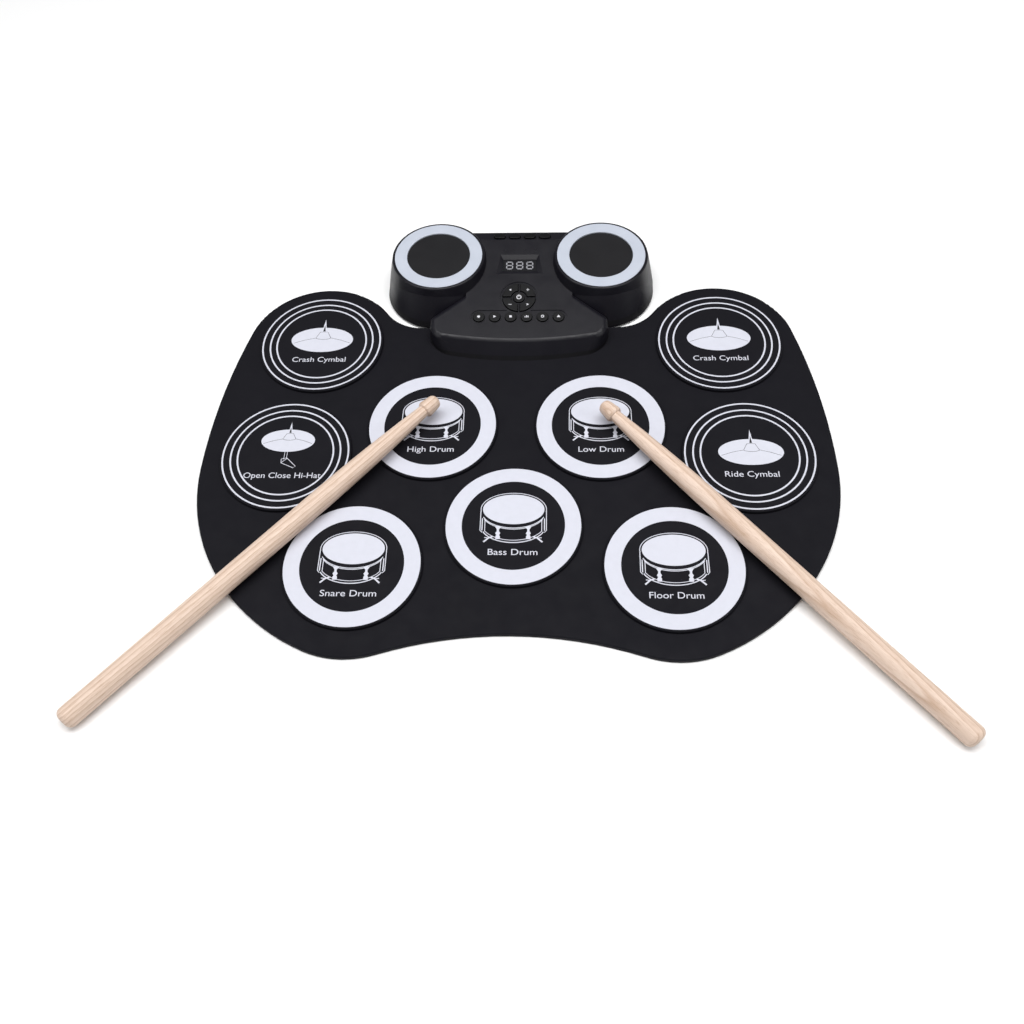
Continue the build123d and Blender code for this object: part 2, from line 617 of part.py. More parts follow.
def display_frame():
    """Sloping frame that falls from the panel to the display's window."""
    half_h = DISPLAY_FRAME_H / 2
    low, high = DISPLAY_FRAME_LOW / 2, DISPLAY_FRAME_HIGH / 2
    surface = make_face(
        Polyline((-low, -half_h), (low, -half_h), (high, half_h), (-high, half_h), close=True)
    )
    rise = DISPLAY_DROP
    window = Pos(0, 0, -rise) * Rectangle(*DISPLAY_WINDOW)
    slope = loft([window, surface], ruled=True)
    return panel_spot(0, DISPLAY_OFFSET) * slope


def display_hole():
    tool = Pos(0, 0, -DISPLAY_DROP) * Box(*DISPLAY_WINDOW, 4 * WALL)
    return panel_spot(0, DISPLAY_OFFSET) * tool


def lamp_seats():
    steps = [(number - (LAMP_COUNT - 1) / 2) * LAMP_PITCH for number in range(LAMP_COUNT)]
    return [panel_spot(step, LAMP_OFFSET) for step in steps]


def jack_cylinder(x, radius, length=2 * WALL, rear=None):
    """Cylinder along Y whose rear end stands at the console's rear wall."""
    rear = REAR_Y + WALL if rear is None else rear
    z = BOARD_Z + BOARD_T + JACK_BODY[2] / 2
    return Pos(x, rear - length / 2, z) * Rot(90, 0, 0) * Cylinder(radius, length)


def usb_block(grow):
    wide, deep, high = USB_SIZE
    low = BOARD_Z + BOARD_T
    return block(
        -wide / 2 - grow, wide / 2 + grow, REAR_Y - deep, REAR_Y + grow, low - grow, low + high + grow
    )


def standoff_spots():
    half = BOARD_SIZE[0] / 2 - STANDOFF_INSET
    ends = (BOARD_Y - BOARD_SIZE[1] + STANDOFF_INSET, BOARD_Y - STANDOFF_INSET)
    return [(x, y) for x in (-half, half) for y in ends]


def build_electronics():
    half = BOARD_SIZE[0] / 2
    board = block(-half, half, BOARD_Y - BOARD_SIZE[1], BOARD_Y, BOARD_Z, BOARD_Z + BOARD_T)
    chip_y = BOARD_Y - BOARD_SIZE[1] + CHIP_INSET + CHIP_SIZE[1] / 2
    chip = Pos(0, chip_y, BOARD_Z + BOARD_T + CHIP_SIZE[2] / 2) * Box(*CHIP_SIZE)
    PARTS["main_board"] = board + chip

    board_long = PANEL_BOARD_HIGH - PANEL_BOARD_LOW
    middle = (PANEL_BOARD_HIGH + PANEL_BOARD_LOW) / 2
    lower_long = DISPLAY_OFFSET - DISPLAY_FRAME_H / 2 - 1 - PANEL_BOARD_LOW
    lower_middle = PANEL_BOARD_LOW + lower_long / 2
    plate = Box(PANEL_BOARD_W, lower_long, BOARD_T)
    neck = Box(DISPLAY_FRAME_LOW, board_long, BOARD_T)
    panel_board = panel_spot(0, lower_middle) * sunk(BOARD_T, PANEL_BOARD_DEPTH) * plate
    panel_board = panel_board + panel_spot(0, middle) * sunk(BOARD_T, PANEL_BOARD_DEPTH) * neck
    PARTS["panel_board"] = panel_board
    keymat = Box(PANEL_BOARD_W - 2, lower_long - 2, KEYMAT_T)
    PARTS["key_mat"] = panel_spot(0, lower_middle) * sunk(KEYMAT_T, KEYMAT_DEPTH) * keymat

    # display block between the panel board and its window
    face_depth = DISPLAY_DROP + CLEAR
    display_h = PANEL_BOARD_DEPTH - face_depth
    display = Box(DISPLAY_WINDOW[0] - 2 * CLEAR, DISPLAY_WINDOW[1] - 2 * CLEAR, display_h)
    PARTS["display"] = panel_spot(0, DISPLAY_OFFSET) * sunk(display_h, face_depth) * display
    lamps = [
        seat * sunk(PANEL_BOARD_DEPTH, 0) * Cylinder(LAMP_DIA / 2 - CLEAR / 2, PANEL_BOARD_DEPTH)
        for seat in lamp_seats()
    ]
    PARTS["indicator_lamps"] = Compound(children=lamps)

    # switch board under the rear keys
    switch_top = STRIP_Z - KEYMAT_DEPTH
    row_half = REAR_KEY_PITCH * REAR_KEY_COUNT / 2
    switch_y = STRIP_Y + REAR_KEY_BACK
    switch_half = REAR_KEY_SIZE[1] / 2
    PARTS["rear_switch_board"] = block(
        REAR_KEY_X - row_half,
        REAR_KEY_X + row_half,
        switch_y - switch_half,
        switch_y + switch_half,
        switch_top - BOARD_T,
        switch_top,
    )

    wide, deep, high = JACK_BODY
    low = BOARD_Z + BOARD_T
    rear_wall = REAR_Y - WALL - CLEAR
    for number, x in enumerate(JACK_X, 1):
        body = block(x - wide / 2, x + wide / 2, rear_wall - deep, rear_wall, low, low + high)
        collar = jack_cylinder(x, JACK_COLLAR_DIA / 2, WALL + 2 * CLEAR, REAR_Y)
        socket = jack_cylinder(x, JACK_R, JACK_DEPTH, REAR_Y)
        PARTS[f"jack_{number}"] = body + collar - socket
    wide, deep, high = USB_SIZE
    cavity = block(
        -wide / 2 + USB_WALL, wide / 2 - USB_WALL, REAR_Y - deep + 1, REAR_Y + 1,
        low + USB_WALL, low + high - USB_WALL,
    )
    tongue_low = low + (high - USB_TONGUE_T) / 2
    tongue_rear = REAR_Y - 2 * USB_WALL
    tongue = block(
        -wide / 3, wide / 3, REAR_Y - deep, tongue_rear, tongue_low, tongue_low + USB_TONGUE_T
    )
    PARTS["usb_socket"] = usb_block(0) - cavity + tongue

    wide, deep, high = BATTERY_SIZE
    front = riser_room()
    cell = block(-wide / 2, wide / 2, front, front + deep, FLOOR_Z + CLEAR, FLOOR_Z + CLEAR + high)
    PARTS["battery"] = fillet(cell.edges().filter_by(Axis.Y), high / 3)


def riser_room():
    """First place behind the step of the floor and the film's riser."""
    return TAB_Y + CLEAR + FLOOR_T + 2 * KEY_GAP + FILM_T + 2 * CLEAR


def revolved(points, x=0.0, y=0.0):
    face = make_face(Polyline(*points, close=True))
    return Pos(x, y, 0) * revolve(Plane.XZ * face, Axis.Z)


def build_speakers():
    roof_low = POD_TOP_Z - POD_ROOF
    hole_r = SOUND_HOLE_DIA / 2
    basket_r = BASKET_DIA / 2
    magnet_r = MAGNET_DIA / 2
    base = roof_low - BASKET_H
    screws = []
    for side, x in PODS.items():
        light = ring(RING_OUT_DIA / 2, RING_IN_DIA / 2, RING_SEAT_Z, POD_TOP_Z + RING_PROUD, x, POD_Y)
        top_edges = light.edges().sort_by(Axis.Z)[-2:]
        PARTS[f"{side}_trim_ring"] = fillet(top_edges, RING_PROUD)
        grille_r = RING_IN_DIA / 2 - CLEAR
        PARTS[f"{side}_grille"] = disc(grille_r, RING_SEAT_Z, RING_SEAT_Z + GRILLE_T, x, POD_Y)
        basket = [
            (hole_r + CONE_T, roof_low),
            (basket_r, roof_low),
            (basket_r, roof_low - FLANGE_T),
            (basket_r - FLANGE_W, roof_low - FLANGE_T),
            (magnet_r + CONE_T, base),
            (0, base),
            (0, base + BASKET_T),
            (magnet_r, base + BASKET_T),
            (hole_r + CONE_T, roof_low - CONE_T - CLEAR),
        ]
        PARTS[f"{side}_speaker_basket"] = revolved(basket, x, POD_Y)
        dust_r = hole_r / 3
        cone = [
            (hole_r + CONE_T, roof_low),
            (dust_r, roof_low - CONE_DEPTH),
            (0, roof_low - CONE_DEPTH + DUST_CAP_RISE),
            (0, roof_low - CONE_DEPTH + DUST_CAP_RISE - CONE_T),
            (dust_r, roof_low - CONE_DEPTH - CONE_T),
            (hole_r + CONE_T, roof_low - CONE_T),
        ]
        PARTS[f"{side}_speaker_cone"] = revolved(cone, x, POD_Y)
        PARTS[f"{side}_speaker_magnet"] = disc(magnet_r, base - MAGNET_H, base, x, POD_Y)


def build_fixings():
    clamp_screws = []
    case_screws = []
    for x, y in post_spots():
        low = CLAMP_LIFT if y < TAB_Y else FOOT_H
        screw = disc(SCREW_HEAD_R, low, low + SCREW_HEAD_H, x, y)
        long, wide, deep = SCREW_CROSS
        slots = Pos(x, y, low + deep / 2) * (Box(long, wide, deep) + Box(wide, long, deep))
        shank_top = lower_floor(y) + POST_HOLE_DEPTH - 1
        screw = screw + disc(SCREW_R, low, shank_top, x, y) - slots
        (clamp_screws if y < TAB_Y else case_screws).append(screw)
    PARTS["clamp_screws"] = Compound(children=clamp_screws)
    PARTS["case_screws"] = Compound(children=case_screws)
    feet = [disc(FOOT_DIA / 2, 0, FOOT_H + FOOT_POCKET, x, y) for x, y in foot_spots()]
    PARTS["rubber_feet"] = Compound(children=feet)


# ---------------------------------------------------------------- sticks
def stick_shape():
    """Stick along +X from its butt end: rounded butt, straight grip, long taper, acorn bead."""
    bead_start = STICK_LENGTH - STICK_BEAD_L
    taper_start = bead_start - STICK_TAPER_L
    mid_taper = (taper_start + bead_start) / 2
    mid_r = (STICK_BUTT_R + STICK_NECK_R) / 2 + STICK_TAPER_BULGE
    edge = STICK_BUTT_EDGE
    round_mid = edge * (1 - sqrt(0.5))
    widest = bead_start + STICK_BEAD_L * STICK_BEAD_WIDEST
    outline = [
        Line((0, 0), (0, STICK_BUTT_R - edge)),
        ThreePointArc(
            (0, STICK_BUTT_R - edge), (round_mid, STICK_BUTT_R - round_mid), (edge, STICK_BUTT_R)
        ),
        Line((edge, STICK_BUTT_R), (taper_start, STICK_BUTT_R)),
        ThreePointArc((taper_start, STICK_BUTT_R), (mid_taper, mid_r), (bead_start, STICK_NECK_R)),
        Spline(
            (bead_start, STICK_NECK_R),
            (widest, STICK_BEAD_R),
            (STICK_LENGTH, 0),
            tangents=((0.25, 1), (0, -1)),
        ),
        Line((STICK_LENGTH, 0), (0, 0)),
    ]
    profile = make_face(Wire([piece.edge() for piece in outline]))
    return revolve(profile, Axis.X)


def build_sticks():
    slope = radians(STICK_SLOPE)
    # the lowest point of the butt's rounding rests on the floor
    butt_z = STICK_BUTT_R * cos(slope) - STICK_BUTT_EDGE * sin(slope) + CLEAR / 5
    reach = STICK_LENGTH * cos(slope)
    for name, (pad, tip, heading) in STICK_SPOTS.items():
        x = PAD_XY[pad][0] + tip[0] - reach * cos(radians(heading))
        y = PAD_XY[pad][1] + tip[1] - reach * sin(radians(heading))
        stick = Rot(0, 0, heading) * Rot(0, -STICK_SLOPE, 0) * stick_shape()
        PARTS[name] = Pos(x, y, butt_z) * stick


if __name__ == "__main__":
    os.makedirs("parts", exist_ok=True)
    build_mat()
    build_shells()
    build_keys()
    build_speakers()
    build_electronics()
    build_fixings()
    build_sticks()
    for name, shape in PARTS.items():
        export_step(shape, f"parts/{name}.step")
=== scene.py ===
import json
import math

import bmesh
import bpy
from mathutils import Matrix, Vector


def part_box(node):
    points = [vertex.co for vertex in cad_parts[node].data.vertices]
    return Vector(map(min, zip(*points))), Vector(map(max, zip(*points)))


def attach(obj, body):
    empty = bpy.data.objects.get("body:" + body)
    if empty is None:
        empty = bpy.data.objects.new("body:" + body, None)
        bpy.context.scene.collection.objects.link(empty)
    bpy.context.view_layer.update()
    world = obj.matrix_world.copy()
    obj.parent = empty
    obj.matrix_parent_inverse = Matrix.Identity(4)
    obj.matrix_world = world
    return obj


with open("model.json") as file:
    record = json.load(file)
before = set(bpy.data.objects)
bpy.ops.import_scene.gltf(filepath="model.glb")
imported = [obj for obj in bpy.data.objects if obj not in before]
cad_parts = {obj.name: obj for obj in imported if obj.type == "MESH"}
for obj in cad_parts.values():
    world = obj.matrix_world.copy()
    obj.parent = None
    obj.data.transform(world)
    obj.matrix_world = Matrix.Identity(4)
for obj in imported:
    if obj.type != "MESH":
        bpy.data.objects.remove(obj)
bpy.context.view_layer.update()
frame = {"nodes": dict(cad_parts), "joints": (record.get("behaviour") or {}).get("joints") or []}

MM = 0.001
ROOT = "drum_pad"
PADS = (
    "bass", "high_tom", "low_tom", "snare", "floor_tom",
    "hi_hat", "ride", "crash_left", "crash_right",
)
SIDES = ("left", "right")

# ---------------------------------------------------------------- camera
CAMERA_PLACE = Vector((28.55, -409.0, 577.8)) * MM
CAMERA_FORWARD = Vector((-0.0438, 0.5332, -0.8448)).normalized()
CAMERA_UP = Vector((-0.0028, 0.8455, 0.5338))
LENS_MM = 35.59
SENSOR_MM = 36.0


def make_camera():
    data = bpy.data.cameras.new("camera")
    data.lens = LENS_MM
    data.sensor_width = SENSOR_MM
    data.clip_start = 0.02
    data.clip_end = 20.0
    camera = bpy.data.objects.new("camera", data)
    bpy.context.scene.collection.objects.link(camera)
    back = -CAMERA_FORWARD
    right = CAMERA_UP.cross(back).normalized()
    up = back.cross(right)
    turn = Matrix((right, up, back)).transposed().to_4x4()
    camera.matrix_world = Matrix.Translation(CAMERA_PLACE) @ turn
    bpy.context.scene.camera = camera


# ---------------------------------------------------------------- material helpers
class Shader:
    """A principled material with short ways to add nodes and links."""

    def __init__(self, name, colour, roughness, specular=0.5):
        self.material = bpy.data.materials.new(name)
        self.material.use_nodes = True
        self.tree = self.material.node_tree
        self.shader = self.tree.nodes["Principled BSDF"]
        self.shader.inputs["Base Color"].default_value = (*colour, 1)
        self.shader.inputs["Roughness"].default_value = roughness
        self.shader.inputs["Specular IOR Level"].default_value = specular

    def node(self, kind, **values):
        made = self.tree.nodes.new(kind)
        for key, value in values.items():
            if hasattr(made, key):
                setattr(made, key, value)
            else:
                made.inputs[key.replace("_", " ").title()].default_value = value
        return made

    def link(self, source, target):
        self.tree.links.new(source, target)

    def coordinates(self, scale=(1, 1, 1), move=(0, 0, 0)):
        """Object coordinates in metres, moved to a centre and then scaled."""
        source = self.node("ShaderNodeTexCoord").outputs["Object"]
        shift = self.node("ShaderNodeVectorMath", operation="SUBTRACT")
        self.link(source, shift.inputs[0])
        shift.inputs[1].default_value = move
        mapping = self.node("ShaderNodeMapping")
        mapping.inputs["Scale"].default_value = scale
        self.link(shift.outputs[0], mapping.inputs["Vector"])
        return mapping.outputs[0]

    def noise(self, vector, scale, detail=3.0, roughness=0.55):
        made = self.node("ShaderNodeTexNoise", scale=scale, detail=detail, roughness=roughness)
        self.link(vector, made.inputs["Vector"])
        return made.outputs["Fac"]

    def ramp(self, source, *stops):
        made = self.node("ShaderNodeValToRGB")
        ramp = made.color_ramp
        while len(ramp.elements) < len(stops):
            ramp.elements.new(0.5)
        for element, (position, colour) in zip(ramp.elements, stops):
            element.position = position
            element.color = (*colour, 1)
        self.link(source, made.inputs["Fac"])
        return made.outputs["Color"]

    def span(self, source, low, high, from_low=0.3, from_high=0.7):
        made = self.node("ShaderNodeMapRange")
        made.inputs["From Min"].default_value = from_low
        made.inputs["From Max"].default_value = from_high
        made.inputs["To Min"].default_value = low
        made.inputs["To Max"].default_value = high
        self.link(source, made.inputs["Value"])
        return made.outputs[0]

    def math(self, operation, first, second=0.0):
        made = self.node("ShaderNodeMath", operation=operation)
        for socket, value in zip(made.inputs, (first, second)):
            if isinstance(value, (int, float)):
                socket.default_value = value
            else:
                self.link(value, socket)
        return made.outputs[0]

    def bump(self, height, distance, strength=1.0):
        """Adds a height field in metres of distance over any bump that is already there."""
        made = self.node("ShaderNodeBump")
        made.inputs["Strength"].default_value = strength
        made.inputs["Distance"].default_value = distance
        self.link(height, made.inputs["Height"])
        normal = self.shader.inputs["Normal"]
        if normal.is_linked:
            self.link(normal.links[0].from_socket, made.inputs["Normal"])
        self.link(made.outputs[0], normal)

    def colour(self, source):
        self.link(source, self.shader.inputs["Base Color"])

    def rough(self, source):
        self.link(source, self.shader.inputs["Roughness"])


def tint(colour, factor):
    return tuple(channel * factor for channel in colour)


def moulded(name, colour, roughness, grain=2200.0, depth=2e-5, specular=0.5, uneven=0.12):
    """Moulded plastic or rubber: fine grain, broad unevenness in shade and gloss."""
    made = Shader(name, colour, roughness, specular)
    place = made.coordinates()
    broad = made.noise(place, 18.0, 4.0)
    made.colour(made.ramp(broad, (0.3, tint(colour, 1 - uneven)), (0.7, tint(colour, 1 + uneven))))
    fine = made.noise(place, grain, 2.0)
    made.rough(made.span(made.noise(place, 90.0, 5.0), roughness - 0.05, roughness + 0.06))
    made.bump(fine, depth, 0.6)
    return made


def silicone(name, colour):
    """Matte silicone: very fine grain, faint smears and a few paler specks of dust."""
    made = moulded(name, colour, 0.68, grain=1700.0, depth=3e-5, specular=0.14, uneven=0.1)
    place = made.coordinates()
    specks = made.node("ShaderNodeTexVoronoi", scale=160.0, feature="F1")
    made.link(place, specks.inputs["Vector"])
    near = made.math("LESS_THAN", specks.outputs["Distance"], 0.035)
    few = made.math("GREATER_THAN", made.noise(place, 37.0, 1.0), 0.66)
    dust = made.math("MULTIPLY", near, few)
    base = made.shader.inputs["Base Color"].links[0].from_socket
    mix = made.node("ShaderNodeMix", data_type="RGBA")
    made.link(dust, mix.inputs["Factor"])
    made.link(base, mix.inputs["A"])
    mix.inputs["B"].default_value = (*tint(colour, 6.0), 1)
    made.colour(mix.outputs["Result"])
    return made


def metal(name, colour, roughness, grain_scale=(1, 1, 1)):
    made = Shader(name, colour, roughness)
    made.shader.inputs["Metallic"].default_value = 1.0
    place = made.coordinates(grain_scale)
    streak = made.noise(place, 900.0, 3.0)
    made.rough(made.span(streak, roughness - 0.08, roughness + 0.1))
    made.colour(made.ramp(made.noise(place, 60.0), (0.3, tint(colour, 0.85)), (0.7, colour)))
    made.bump(streak, 1e-5, 0.5)
    return made


RINGS_PER_METRE = 420.0
RING_WANDER = 1.6                 # rings that the grain drifts by along a stick


def wood(name, butt, tip):
    """Pale ash: rings about an axis just off the stick's own, pores and a satin finish."""
    made = Shader(name, (0.66, 0.50, 0.40), 0.5, 0.45)
    along = (tip - butt).normalized()
    heading = math.atan2(along.y, along.x)
    flat = made.coordinates(move=butt)
    turn = made.node("ShaderNodeVectorRotate", rotation_type="Z_AXIS")
    turn.inputs["Angle"].default_value = -heading
    made.link(flat, turn.inputs["Vector"])
    stick = turn.outputs[0]
    # growth rings, slowly wandering along the stick
    wander = made.node("ShaderNodeMapping")
    wander.inputs["Scale"].default_value = (5.0, 70.0, 70.0)
    made.link(stick, wander.inputs["Vector"])
    drift = made.noise(wander.outputs[0], 1.0, 2.0)
    offset = made.node("ShaderNodeMapping")
    offset.inputs["Location"].default_value = (0, 0.018, 0.011)
    offset.inputs["Rotation"].default_value = (0, 0.006, 0.012)
    offset.inputs["Scale"].default_value = (0.0, 1.0, 1.0)
    made.link(stick, offset.inputs["Vector"])
    length = made.node("ShaderNodeVectorMath", operation="LENGTH")
    made.link(offset.outputs[0], length.inputs[0])
    rings = made.math("MULTIPLY", length.outputs["Value"], RINGS_PER_METRE)
    phase = made.math("ADD", rings, made.math("MULTIPLY", drift, RING_WANDER))
    ring = made.math("FRACT", phase)
    light, mid, dark = (0.73, 0.575, 0.475), (0.67, 0.515, 0.415), (0.56, 0.40, 0.30)
    grain = made.ramp(ring, (0.0, light), (0.55, mid), (0.86, dark), (0.97, light))
    # pores: short dark dashes along the grain
    pores = made.node("ShaderNodeMapping")
    pores.inputs["Scale"].default_value = (90.0, 2600.0, 2600.0)
    made.link(stick, pores.inputs["Vector"])
    pore = made.noise(pores.outputs[0], 1.0, 3.0, 0.7)
    mix = made.node("ShaderNodeMix", data_type="RGBA", blend_type="MULTIPLY")
    mix.inputs["Factor"].default_value = 1.0
    made.link(grain, mix.inputs["A"])
    made.link(made.ramp(pore, (0.36, (0.80, 0.74, 0.68)), (0.5, (1, 1, 1))), mix.inputs["B"])
    made.colour(mix.outputs["Result"])
    made.rough(made.span(pore, 0.58, 0.44))
    made.bump(pore, 4e-5, 0.5)
    return made


def trim_ring_plastic(name, centre):
    """Pale plastic with very fine turned circles about the speaker's axis."""
    made = Shader(name, (0.475, 0.51, 0.585), 0.38, 0.5)
    place = made.coordinates(scale=(1, 1, 0), move=centre)
    length = made.node("ShaderNodeVectorMath", operation="LENGTH")
    made.link(place, length.inputs[0])
    turned = made.math("SINE", made.math("MULTIPLY", length.outputs["Value"], 9000.0))
    uneven = made.noise(made.coordinates(), 60.0, 3.0)
    made.colour(made.ramp(uneven, (0.3, (0.465, 0.50, 0.575)), (0.7, (0.495, 0.53, 0.605))))
    made.rough(made.span(uneven, 0.34, 0.44))
    made.bump(turned, 8e-6, 0.35)
    made.shader.inputs["Subsurface Weight"].default_value = 0.08
    made.shader.inputs["Subsurface Radius"].default_value = (0.002, 0.002, 0.002)
    return made


def print_ink(name, colour):
    """Thick white screen print: slight mottle and the weave of the screen."""
    made = Shader(name, colour, 0.55, 0.4)
    place = made.coordinates()
    mottle = made.noise(place, 240.0, 4.0)
    made.colour(made.ramp(mottle, (0.3, tint(colour, 0.96)), (0.7, colour)))
    made.rough(made.span(mottle, 0.5, 0.62))
    made.bump(made.noise(place, 2400.0, 2.0), 1.5e-5, 0.5)
    return made


MATERIALS = {}


def make_materials():
    black = (0.0044, 0.0042, 0.0070)
    entries = {
        "mat": silicone("mat_silicone", black),
        "pad": silicone("pad_silicone", (0.0046, 0.0044, 0.0072)),
        "panel": moulded("console_plastic", (0.0058, 0.0054, 0.0088), 0.38, 2600.0, 1.4e-5, 0.27),
        "base": moulded("base_plastic", (0.004, 0.0038, 0.0052), 0.42, 2600.0, 1.4e-5, 0.25),
        "key": moulded("key_rubber", (0.0028, 0.0028, 0.0036), 0.42, 3000.0, 1.2e-5, 0.22),
        "grille": moulded("grille_plastic", (0.0062, 0.006, 0.0075), 0.5, 2600.0, 1.6e-5, 0.3),
        "white": print_ink("white_print", (0.60, 0.61, 0.685)),
        "icon": print_ink("key_print", (0.62, 0.62, 0.66)),
        "mark": print_ink("dark_print_line", (0.012, 0.012, 0.014)),
        "segment": print_ink("display_segment", (0.27, 0.27, 0.295)),
        "display": moulded("display_block", (0.006, 0.006, 0.008), 0.2, 3000.0, 4e-6),
        "film": moulded("film_polyester", (0.60, 0.44, 0.16), 0.3),
        "foam": moulded("dense_foam", (0.04, 0.04, 0.045), 0.85, 1400.0, 6e-5),
        "board": moulded("board_mask", (0.01, 0.09, 0.035), 0.35),
        "paper": moulded("cone_paper", (0.02, 0.02, 0.021), 0.8, 1500.0, 8e-5),
        "ferrite": moulded("ferrite", (0.05, 0.05, 0.054), 0.55, 1200.0, 6e-5),
        "foot": moulded("foot_rubber", (0.016, 0.016, 0.017), 0.75, 1500.0, 4e-5),
        "jack": moulded("jack_plastic", (0.008, 0.008, 0.009), 0.35),
        "steel": metal("plated_steel", (0.55, 0.55, 0.57), 0.3),
        "foil": metal("battery_foil", (0.62, 0.62, 0.64), 0.34),
        "basket": moulded("basket_paint", (0.02, 0.02, 0.022), 0.4),
        "lamp": moulded("lamp_lens", (0.012, 0.012, 0.015), 0.16, 3000.0, 4e-6),
    }
    for name, made in entries.items():
        MATERIALS[name] = made.material


def node_material(node):
    """Name of the material that a CAD node is shown with."""
    exact = {
        "mat_skin": "mat",
        "mat_backing": "mat",
        "upper_shell": "panel",
        "lower_shell": "base",
        "sensor_film": "film",
        "pressure_discs": "foam",
        "key_mat": "foam",
        "display": "display",
        "indicator_lamps": "lamp",
        "battery": "foil",
        "usb_socket": "steel",
        "clamp_plates": "steel",
        "rubber_feet": "foot",
    }
    endings = {
        "_key": "key",
        "_board": "board",
        "_basket": "basket",
        "_cone": "paper",
        "_magnet": "ferrite",
        "_screws": "steel",
        "_grille": "grille",
    }
    if node in exact:
        return exact[node]
    if node.startswith("pad_"):
        return "pad"
    if node.startswith("jack_"):
        return "jack"
    for ending, material in endings.items():
        if ending + "_" in node + "_":
            return material
    return None


def paint(node, material):
    piece = frame["nodes"][node]
    piece.data.materials.clear()
    piece.data.materials.append(material)


def paint_nodes():
    for node in frame["nodes"]:
        name = node_material(node)
        if name:
            paint(node, MATERIALS[name])
    for side in SIDES:
        low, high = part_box(f"{side}_trim_ring")
        paint(f"{side}_trim_ring", trim_ring_plastic(f"{side}_ring_plastic", (low + high) / 2).material)
        paint(f"{side}_drumstick", wood(f"{side}_ash", *stick_ends(side)).material)


BUTT_REACH = 8 * MM               # vertices this near the lowest one belong to the butt


def stick_ends(side):
    """Middle of the butt end of a stick and its farthest point, the tip, from its vertices."""
    points = [vertex.co for vertex in frame["nodes"][f"{side}_drumstick"].data.vertices]
    low = min(points, key=lambda point: point.y)
    near = [point for point in points if (point - low).length < BUTT_REACH]
    butt = sum(near, Vector()) / len(near)
    return butt, max(points, key=lambda point: (point - butt).length)


# ---------------------------------------------------------------- flat printed shapes
def ellipse(cx, cy, a, b, steps=96, start=0.0, end=360.0):
    closed = abs(end - start) >= 360
    count = steps if closed else steps + 1
    angles = [math.radians(start + (end - start) * step / steps) for step in range(count)]
    return [(cx + a * math.cos(t), cy + b * math.sin(t)) for t in angles]


def stroke(points, width):
    """Outline of a line of some width along an open run of points."""
    left, right = [], []
    for index, point in enumerate(points):
        before = points[max(index - 1, 0)]
        after = points[min(index + 1, len(points) - 1)]
        dx, dy = after[0] - before[0], after[1] - before[1]
        span = math.hypot(dx, dy)
        nx, ny = -dy / span * width / 2, dx / span * width / 2
        left.append((point[0] + nx, point[1] + ny))
        right.append((point[0] - nx, point[1] - ny))
    return left + right[::-1]


def ring_band(radius, width):
    return [ellipse(0, 0, radius, radius, 160), ellipse(0, 0, radius - width, radius - width, 160)]


def flat_mesh(name, outlines, thickness):
    """Thin solid from closed outlines in millimetres; an outline inside another is a hole."""
    curve = bpy.data.curves.new(name, "CURVE")
    curve.dimensions = "2D"
    curve.fill_mode = "BOTH"
    curve.extrude = thickness / 2
    for outline in outlines:
        spline = curve.splines.new("POLY")
        spline.points.add(len(outline) - 1)
        for point, (x, y) in zip(spline.points, outline):
            point.co = (x * MM, y * MM, 0, 1)
        spline.use_cyclic_u = True
    return solid_from(curve)


def text_mesh(text, cap_height, width, thickness):
    curve = bpy.data.curves.new("label", "FONT")
    curve.body = text
    curve.align_x = "CENTER"
    curve.align_y = "CENTER"
    curve.size = cap_height / 0.72
    curve.extrude = thickness / 2
    curve.resolution_u = 6
    mesh = solid_from(curve)
    across = [vertex.co.x for vertex in mesh.vertices]
    mesh.transform(Matrix.Scale(width / (max(across) - min(across)), 4, (1, 0, 0)))
    return mesh


def solid_from(curve):
    holder = bpy.data.objects.new("holder", curve)
    bpy.context.scene.collection.objects.link(holder)
    graph = bpy.context.evaluated_depsgraph_get()
    mesh = bpy.data.meshes.new_from_object(holder.evaluated_get(graph))
    bpy.data.objects.remove(holder)
    bpy.data.curves.remove(curve)
    shape = bmesh.new()
    shape.from_mesh(mesh)
    bmesh.ops.remove_doubles(shape, verts=shape.verts, dist=1e-7)
    bmesh.ops.recalc_face_normals(shape, faces=shape.faces)
    shape.to_mesh(mesh)
    shape.free()
    return mesh


def piece_from(name, layers, body):
    """One piece from (mesh, place, material) layers, riding on a body."""
    shape = bmesh.new()
    materials = []
    for mesh, place, material in layers:
        if material not in materials:
            materials.append(material)
        mesh.transform(place)
        first = len(shape.faces)
        shape.from_mesh(mesh)
        shape.faces.ensure_lookup_table()
        for face in shape.faces[first:]:
            face.material_index = materials.index(material)
        bpy.data.meshes.remove(mesh)
    made = bpy.data.meshes.new(name)
    shape.to_mesh(made)
    shape.free()
    for material in materials:
        made.materials.append(MATERIALS[material])
    piece = bpy.data.objects.new(name, made)
    bpy.context.scene.collection.objects.link(piece)
    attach(piece, body)
    return piece


